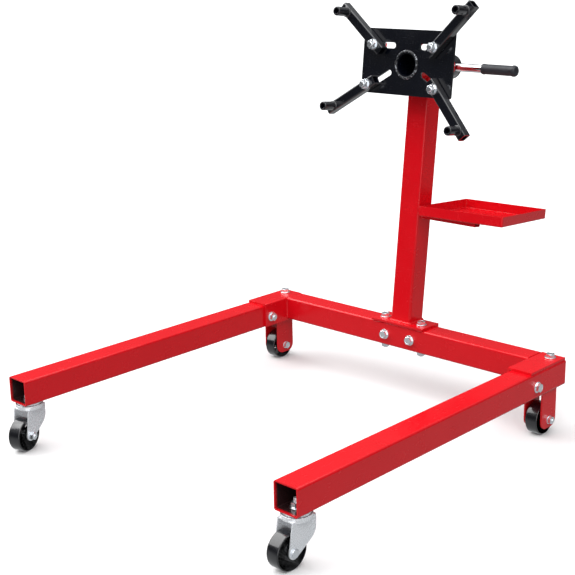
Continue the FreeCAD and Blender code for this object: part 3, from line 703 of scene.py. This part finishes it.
def make_frame_welds():
    foot_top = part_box("post_foot")[1].z
    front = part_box("post_tube")[0].y
    depth = POST_DEPTH / math.cos(LEAN)
    shape = Shape()
    centre = Vector((0, front + depth / 2, foot_top + 0.8 * MM))
    standing = 0.8 * MM
    half_width = POST_WIDTH / 2 + standing
    half_depth = depth / 2 + standing
    add_bead(shape, along_rectangle(centre, X, Y, half_width, half_depth, 5 * MM, 1.0), 3.4 * MM)
    finish_bead(shape, "weld_post_foot", "base", "red_frame")

    shape = Shape()
    bar_low, bar_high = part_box("tray_bar")
    middle_y = (bar_low.y + bar_high.y) / 2
    middle_z = (bar_low.z + bar_high.z) / 2
    centre = Vector((POST_WIDTH / 2 + 0.5 * MM, middle_y, middle_z))
    add_bead(shape, along_rectangle(centre, HEAD_BACK, HEAD_UP, 11.4 * MM, 5.4 * MM, 2 * MM, 1.0), 2.0 * MM)
    finish_bead(shape, "weld_tray_bar", "base", "red_frame")

    shape = Shape()
    half = math.degrees(math.asin(POST_WIDTH / 2 / SLEEVE_RADIUS)) - 2
    post_front = POST_AHEAD - POST_DEPTH / 2
    post_rear = POST_AHEAD + POST_DEPTH / 2
    axes = (-HEAD_UP, X, HEAD_BACK)
    for back in (post_front - 0.6 * MM, post_rear + 0.6 * MM):
        arc = along_circle(head_point(0, back, 0), axes, SLEEVE_RADIUS, 0.0, -half, half)
        add_bead(shape, arc, 2.6 * MM, False)
    for x in (-1, 1):
        start = head_point(x * POST_WIDTH / 2, post_front, SLEEVE_SEAT)
        end = head_point(x * POST_WIDTH / 2, post_rear, SLEEVE_SEAT)
        add_bead(shape, along_line(start, end, X * x), 2.4 * MM, False)
    finish_bead(shape, "weld_sleeve", "base", "red_frame")

    shape = Shape()
    cross_low, cross_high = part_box("cross_tube")
    for x in (cross_low.x, cross_high.x):
        inward = -1 if x > 0 else 1
        at = x + inward * 0.6 * MM
        low = cross_low.z + 4 * MM
        high = cross_high.z - 4 * MM
        front_y = cross_low.y
        rear_y = cross_high.y
        start = Vector((at, front_y, low))
        end = Vector((at, front_y, high))
        add_bead(shape, along_line(start, end, Vector((inward, -1, 0))), 2.8 * MM, False)
        start = Vector((at, front_y + 4 * MM, cross_low.z))
        end = Vector((at, rear_y - 4 * MM, cross_low.z))
        add_bead(shape, along_line(start, end, Vector((inward, 0, -1))), 2.8 * MM, False)
    finish_bead(shape, "weld_cross_tube", "base", "red_frame")

    for side in SIDES:
        shape = Shape()
        low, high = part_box("rear_fork_" + side)
        top = high.z - 0.4 * MM
        for x, sign in ((low.x, -1), (high.x, 1)):
            start = Vector((x, low.y + 2 * MM, top))
            end = Vector((x, high.y - 2 * MM, top))
            add_bead(shape, along_line(start, end, Vector((sign, 0, -1))), 2.4 * MM, False)
        finish_bead(shape, "weld_rear_fork_" + side, "base", "red_frame")


def make_boss_weld():
    """A bead where the index pin's guide stands on the sleeve."""
    low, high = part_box("index_pin_boss")
    radius = (high.x - low.x) / 2
    back = (Vector((0, (low.y + high.y) / 2, (low.z + high.z) / 2)) - HEAD).dot(HEAD_BACK)
    points = []
    count = 110
    for k in range(count):
        angle = 2 * math.pi * k / count
        x = (radius + 0.4 * MM) * math.cos(angle)
        along = (radius + 0.4 * MM) * math.sin(angle)
        up = math.sqrt(SLEEVE_RADIUS ** 2 - x ** 2) + 0.4 * MM
        out = X * math.cos(angle) + HEAD_BACK * math.sin(angle) + HEAD_UP
        points.append((head_point(x, back + along, up), out))
    shape = Shape()
    add_bead(shape, points, 1.9 * MM)
    finish_bead(shape, "weld_pin_boss", "base", "red_frame")


def make_head_welds():
    """The uneven bead round the mouth of the head tube, and one at the root of each stand-off."""
    shape = Shape()
    axes = (X, HEAD_UP, -HEAD_BACK)
    mouth = along_circle(head_point(0, -0.3 * MM, 0), axes, TUBE_RADIUS + 1.8 * MM, 1.2)
    add_bead(shape, mouth, 3.6 * MM, pitch=4.2 * MM)
    # the bead round the mouth carries painted highlight patches
    finish_bead(shape, "weld_head_tube", "head", "black_paint", GLINT_BEAD)
    for arm in ARMS:
        mount = MOUNT["engine_hole_" + arm]
        centre = Vector(mount["pos_m"])
        shape = Shape()
        root = centre + HEAD_BACK * (STANDOFF_LENGTH / 2 - 0.4 * MM)
        add_bead(shape, along_circle(root, axes, 11.3 * MM, 1.0), 2.2 * MM)
        finish_bead(shape, "weld_standoff_" + arm, "arm_" + arm, "black_paint")


GRIP_RIBS = 26
GRIP_RIB_DEPTH = 0.35 * MM


def make_grip():
    """Rubber sleeve with a rolled ring at both ends, shallow ribs between them and a rounded tip."""
    low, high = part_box("handle_grip")
    bore = 10.2 * MM
    inner_ring = 13.0 * MM
    ring = 13.6 * MM
    body = 12.4 * MM
    groove = body - GRIP_RIB_DEPTH
    length = high.x - low.x
    middle = Vector((low.x, (low.y + high.y) / 2, (low.z + high.z) / 2))
    axes = axes_for(X, HEAD_UP)
    outline = [(bore, 0.0), (inner_ring, 0.0), (inner_ring, 5 * MM), (body, 5.6 * MM)]
    start = 9 * MM
    end = length - 15 * MM
    width = (end - start) / GRIP_RIBS
    for k in range(GRIP_RIBS):
        at = start + (end - start) * k / GRIP_RIBS
        outline += [(body, at + 0.15 * width), (groove, at + 0.35 * width),
                    (groove, at + 0.65 * width), (body, at + 0.85 * width)]
    outline += [(body, length - 10.6 * MM), (ring, length - 10 * MM), (ring, length - 5 * MM),
                (body, length - 4.4 * MM), (body, length - 2 * MM), (body - 2.4 * MM, length - 0.1 * MM),
                (0.0, length)]
    shape = Shape()
    add_revolved(shape, middle, axes, rounded_outline(outline, 0.7 * MM, 3, False), 64, closed=False)
    piece = make_piece("handle_grip_detail", shape.mesh("handle_grip_detail"), "handle", "grip_rubber", 40.0)
    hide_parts("handle_grip")


STEM_RADIUS = 6.0 * MM
STEM_PITCH = 1.75 * MM
FLANGE_RADIUS = 28 * MM
FLANGE_THICKNESS = 4 * MM
RIVET_RADIUS = 11 * MM
RIVET_HEIGHT = 5 * MM


def add_rounded_disc(shape, centre, radius, bottom, top, rounding, count):
    outline = [(1e-5, bottom), (radius, bottom), (radius, top), (1e-5, top)]
    rim = rounded_outline(outline, rounding, 4, False)
    add_revolved(shape, centre, axes_for(Z), rim, count, closed=False)


def make_stems():
    """Threaded stem with its pressed flange and riveted lower end, for each front caster."""
    for side in SIDES:
        joint = Vector(JOINT["caster_swivel_" + side]["pos_m"])
        low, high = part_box("caster_stems")
        leg_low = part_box("leg_" + side)[0].z
        axes = axes_for(Z)
        centre = Vector((joint.x, joint.y, 0))
        thread_start = leg_low + 0.5 * MM
        shape = Shape()
        add_rounded_disc(shape, centre, FLANGE_RADIUS, leg_low - FLANGE_THICKNESS, leg_low, 1.2 * MM, 72)
        add_rounded_disc(shape, centre, RIVET_RADIUS, low.z, low.z + RIVET_HEIGHT, 1.8 * MM, 48)
        add_shank(shape, centre, axes, STEM_RADIUS - 0.1 * MM, low.z + 4 * MM, thread_start)
        add_thread(shape, centre, axes, STEM_RADIUS, thread_start, high.z, STEM_PITCH, 40)
        name = "caster_stem_detail_" + side
        piece = make_piece(name, shape.mesh(name), "base", "zinc_steel", 30.0)
        if side == "left":
            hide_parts("caster_stems")


# radius of each lip, its drop below the crown's rim and the radius of its rolled edge
CROWN_LIPS = ((30.2 * MM, 0.5 * MM, 0.9 * MM), (30.4 * MM, 8.6 * MM, 0.75 * MM))


def make_caster_lips():
    """Two rolled lips round each caster's crown."""
    for side in SIDES:
        joint = Vector(JOINT["caster_swivel_" + side]["pos_m"])
        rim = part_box("caster_fork_" + side)[1].z
        shape = Shape()
        for radius, drop, thick in CROWN_LIPS:
            centre = Vector((joint.x, joint.y, rim - drop))
            outline = [(radius + thick * math.cos(a), thick * math.sin(a))
                       for a in (math.pi / 4 * k for k in range(8))]
            add_revolved(shape, centre, axes_for(Z), outline, 96)
        name = "caster_lip_" + side
        make_piece(name, shape.mesh(name), "caster_" + side, "zinc_steel", 60.0)


# width of the broken edges, in millimetres
USUAL_EDGE = 0.5
EDGE = {"head_plate": 0.8, "tray_pan": 0.35, "front_wheel_left": 0.7, "front_wheel_right": 0.7,
        "rear_wheel_left": 0.7, "rear_wheel_right": 0.7}


def dress_cad_node(name, node):
    """Gives a CAD node its finish and breaks its sharp edges, as paint and pressing do."""
    slot = SLOT_OF[name]
    node.data.materials.clear()
    node.data.materials.append(LEG_FINISH.get(name, FINISH[slot]))
    if node.hide_render:
        return
    weld = node.modifiers.new("join_corners", "WELD")
    weld.merge_threshold = 1e-6
    flat = node.modifiers.new("flat_faces", "DECIMATE")
    flat.decimate_type = "DISSOLVE"
    flat.angle_limit = math.radians(0.4)
    bevel = node.modifiers.new("broken_edges", "BEVEL")
    bevel.width = EDGE.get(name, USUAL_EDGE) * MM
    bevel.segments = 2
    bevel.limit_method = "ANGLE"
    bevel.angle_limit = math.radians(38)
    bevel.use_clamp_overlap = True
    bevel.harden_normals = False


rebuild_fasteners("leg_bolts", lambda points: X)
rebuild_fasteners("corner_bolts", lambda points: Z)
rebuild_fasteners("post_bolts", lambda points: Z)
rebuild_fasteners("post_cross_bolts", lambda points: Y)
rebuild_fasteners("rear_axles", lambda points: X, 1.5 * MM)
rebuild_fasteners("caster_stem_nuts", lambda points: Z)
rebuild_fasteners("tray_bolt", lambda points: HEAD_UP, 1.25 * MM)
for arm in ARMS:
    rebuild_fasteners("arm_bolt_" + arm, lambda points: HEAD_BACK)
for side in SIDES:
    spin = Vector(JOINT["front_wheel_spin_" + side]["axis"])
    rebuild_fasteners("caster_axle_" + side, lambda points, spin=spin: spin, 1.5 * MM)
make_frame_welds()
make_boss_weld()
make_head_welds()
make_grip()
make_stems()
make_caster_lips()
for name, node in frame["nodes"].items():
    dress_cad_node(name, node)


# ---- camera, light and floor
EYE_RIGHT = 1.8113             # from the middle of the stand
EYE_AHEAD = 1.448              # in front of the legs' open ends
EYE_ABOVE = 1.003              # above the underside of the legs
CAMERA_YAW = 43.6
CAMERA_PITCH = 15.95
CAMERA_ROLL = 1.02
SENSOR_WIDTH = 36
LENS = 76.09
FLOOR_HALF = 40.0


def make_camera():
    """Looks at the stand from the front right, from a little above the top of the head."""
    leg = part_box("leg_left")[0]
    eye = Vector((EYE_RIGHT, leg.y - EYE_AHEAD, leg.z + EYE_ABOVE))
    yaw = math.radians(CAMERA_YAW)
    pitch = math.radians(CAMERA_PITCH)
    roll = math.radians(CAMERA_ROLL)
    level = math.cos(pitch)
    forward = Vector((-math.sin(yaw) * level, math.cos(yaw) * level, -math.sin(pitch)))
    right = Vector((math.cos(yaw), math.sin(yaw), 0))
    up = right.cross(forward)
    image_right = right * math.cos(roll) - up * math.sin(roll)
    image_up = up * math.cos(roll) + right * math.sin(roll)
    data = bpy.data.cameras.new("camera")
    data.sensor_width = SENSOR_WIDTH
    data.lens = LENS
    camera = bpy.data.objects.new("camera", data)
    bpy.context.scene.collection.objects.link(camera)
    camera.matrix_world = Matrix((
        (image_right.x, image_up.x, -forward.x, eye.x),
        (image_right.y, image_up.y, -forward.y, eye.y),
        (image_right.z, image_up.z, -forward.z, eye.z),
        (0, 0, 0, 1)))
    bpy.context.scene.camera = camera


def make_floor():
    m = Nodes("pale_floor")
    m.link(m.mix(m.noise(3.0, 4.0, 0.6), rgb(0.86, 0.86, 0.86), rgb(0.89, 0.89, 0.89)), "Base Color")
    m.bump(m.noise(220.0, 3.0, 0.6), 0.0002, 0.2)
    m.set(Roughness=0.9, Specular_IOR_Level=0.0)
    far = FLOOR_HALF
    corners = [(-far, -far, 0), (far, -far, 0), (far, far, 0), (-far, far, 0)]
    mesh = mesh_from("floor", corners, [(0, 1, 2, 3)])
    mesh.materials.append(m.material)
    floor = bpy.data.objects.new("floor", mesh)
    floor.visible_glossy = False
    floor.visible_diffuse = False
    bpy.context.scene.collection.objects.link(floor)


def make_soft_light(name, direction, spread, strength):
    """A distant round softbox of the given angular width, which lights the whole floor evenly."""
    data = bpy.data.lights.new(name, "SUN")
    data.angle = math.radians(spread)
    data.energy = strength
    light = bpy.data.objects.new(name, data)
    bpy.context.scene.collection.objects.link(light)
    light.rotation_mode = "QUATERNION"
    light.rotation_quaternion = Vector(direction).to_track_quat("Z", "Y")


# how bright the studio is as a light, from straight down to straight up
WORLD_RAMP = ((0.0, 0.50), (0.33, 0.44), (0.47, 0.06), (0.60, 0.06), (0.85, 0.50), (1.0, 0.70))
# direction toward each light, its angular width and its strength
SOFT_LIGHTS = {
    "key": ((-0.72, -0.24, 0.60), 60, 2.3),
    "top": ((0.10, -0.22, 1.0), 80, 2.0),
    "fill": ((0.66, -0.66, 0.35), 70, 1.3),
}


def make_world():
    """White studio to look at; as a light it is bright overhead, dim at eye level and pale below."""
    world = bpy.data.worlds.new("studio")
    world.use_nodes = True
    tree = world.node_tree
    background = tree.nodes["Background"]
    place = tree.nodes.new("ShaderNodeTexCoord")
    split = tree.nodes.new("ShaderNodeSeparateXYZ")
    height = tree.nodes.new("ShaderNodeMapRange")
    height.inputs["From Min"].default_value = -1.0
    ramp = tree.nodes.new("ShaderNodeValToRGB")
    ramp.color_ramp.elements[0].position = WORLD_RAMP[0][0]
    ramp.color_ramp.elements[1].position = WORLD_RAMP[-1][0]
    for position, _ in WORLD_RAMP[1:-1]:
        ramp.color_ramp.elements.new(position)
    for element, (position, level) in zip(ramp.color_ramp.elements, WORLD_RAMP):
        element.color = (level * 0.96, level * 0.98, level, 1.0)
    seen = tree.nodes.new("ShaderNodeLightPath")
    pick = tree.nodes.new("ShaderNodeMix")
    pick.data_type = "RGBA"
    pick.inputs[7].default_value = (1.0, 1.0, 1.0, 1.0)
    tree.links.new(place.outputs["Generated"], split.inputs["Vector"])
    tree.links.new(split.outputs["Z"], height.inputs["Value"])
    tree.links.new(height.outputs["Result"], ramp.inputs["Fac"])
    tree.links.new(seen.outputs["Is Camera Ray"], pick.inputs["Factor"])
    tree.links.new(ramp.outputs["Color"], pick.inputs[6])
    tree.links.new(pick.outputs[2], background.inputs["Color"])
    bpy.context.scene.world = world


make_camera()
make_floor()
make_world()
for name, (direction, spread, strength) in SOFT_LIGHTS.items():
    make_soft_light(name, direction, spread, strength)
bpy.context.scene.view_settings.view_transform = "Standard"
